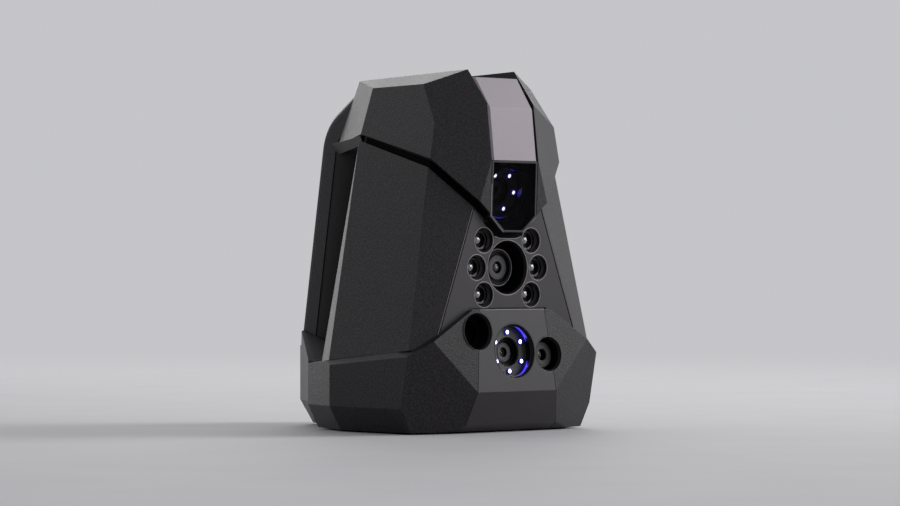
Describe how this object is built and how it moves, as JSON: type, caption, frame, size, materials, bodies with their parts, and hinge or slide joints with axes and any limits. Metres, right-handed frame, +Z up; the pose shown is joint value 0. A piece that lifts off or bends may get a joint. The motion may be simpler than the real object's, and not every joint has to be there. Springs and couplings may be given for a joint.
{
  "type": "handheld 3d scanner",
  "caption": "Handheld structured-light 3D scanner that stands on its own base: faceted casing, cameras ringed by lamps, a projector and a loop handle behind a finger slot.",
  "frame": {"origin": "on the table, below the middle of the part's bounding box", "axes": "+X to the right as seen from the front, +Y from the cameras back to the handle, +Z up"},
  "size_m": [0.1352, 0.157, 0.1887],
  "materials": {
    "shell_plastic": "fine moulded grain",
    "cover_plastic": "smooth satin",
    "handle_plastic": "smooth satin",
    "frame_plastic": "smooth satin",
    "dark_plastic": "fine moulded grain",
    "window_glass": "dark tinted, polished",
    "lens_glass": "coated, polished",
    "barrel_plastic": "ribbed, matte",
    "cup_plastic": "glossy inside",
    "ring_board": "pale solder mask",
    "circuit_board": "green solder mask",
    "black_board": "black solder mask",
    "chip_resin": "moulded epoxy",
    "lamp_resin": "clear to white",
    "light_plastic": "translucent",
    "scan_key": "satin",
    "grey_key": "satin",
    "power_key": "satin",
    "soft_grip": "soft, lightly grained",
    "foot_rubber": "smooth",
    "cast_frame": "cast, blasted",
    "sink_metal": "extruded",
    "socket_steel": "stamped",
    "socket_plastic": "smooth",
    "thread_brass": "turned",
    "screw_steel": "zinc plated"
  },
  "bodies": {
    "housing": {"left_head_shell": "shell_plastic", "right_head_shell": "shell_plastic", "left_body_shell": "shell_plastic", "right_body_shell": "shell_plastic", "left_base_shell": "shell_plastic", "right_base_shell": "shell_plastic", "handle_front": "shell_plastic", "underside_cover": "shell_plastic", "spine_cover": "cover_plastic", "centre_panel": "cover_plastic", "nose_cover": "cover_plastic", "handle_back": "handle_plastic", "window_frame": "frame_plastic", "neck_band": "dark_plastic", "roof_strip": "dark_plastic", "rear_cover": "dark_plastic", "bottom_plate": "dark_plastic", "control_bezel": "dark_plastic", "window_glass": "window_glass", "upper_lens": "lens_glass", "middle_lens": "lens_glass", "lower_lens": "lens_glass", "colour_lens": "lens_glass", "projector_lens": "lens_glass", "upper_camera": "barrel_plastic", "middle_camera": "barrel_plastic", "lower_camera": "barrel_plastic", "colour_camera": "barrel_plastic", "projector": "barrel_plastic", "fan_housing": "barrel_plastic", "flash_cups": "cup_plastic", "ring_boards": "ring_board", "middle_board": "circuit_board", "lower_board": "circuit_board", "colour_board": "circuit_board", "main_board": "circuit_board", "socket_board": "circuit_board", "button_board": "circuit_board", "lamp_board": "black_board", "upper_board": "black_board", "processor": "chip_resin", "ring_lamps": "lamp_resin", "flash_lamps": "lamp_resin", "status_light": "light_plastic", "grip_pad": "soft_grip", "feet": "foot_rubber", "optical_frame": "cast_frame", "heat_sink": "sink_metal", "data_socket": "socket_steel", "power_socket": "socket_plastic", "tripod_insert": "thread_brass", "plate_screws": "screw_steel", "frame_screws": "screw_steel"},
    "scan_button": {"scan_button": "scan_key"},
    "plus_button": {"plus_button": "grey_key"},
    "minus_button": {"minus_button": "grey_key"},
    "power_button": {"power_button": "power_key"},
    "fan_rotor": {"fan_rotor": "barrel_plastic"}
  },
  "joints": [
    {"name": "scan_button_press", "type": "slide", "parent": "housing", "child": "scan_button", "axis": [0, -0.9863, -0.165], "range_m": [0, 0.001], "stiffness_N_per_m": 1200, "springref_m": -0.0005},
    {"name": "plus_button_press", "type": "slide", "parent": "housing", "child": "plus_button", "axis": [0, -0.9863, -0.165], "range_m": [0, 0.001], "stiffness_N_per_m": 1200, "springref_m": -0.0005},
    {"name": "minus_button_press", "type": "slide", "parent": "housing", "child": "minus_button", "axis": [0, -0.9863, -0.165], "range_m": [0, 0.001], "stiffness_N_per_m": 1200, "springref_m": -0.0005},
    {"name": "power_button_press", "type": "slide", "parent": "housing", "child": "power_button", "axis": [0, -1, 0], "range_m": [0, 0.001], "stiffness_N_per_m": 1200, "springref_m": -0.0005},
    {"name": "fan_turn", "type": "hinge", "parent": "housing", "child": "fan_rotor", "pos_m": [0, -0.02116, 0.1739], "axis": [0, 0, 1], "continuous": true}
  ]
}
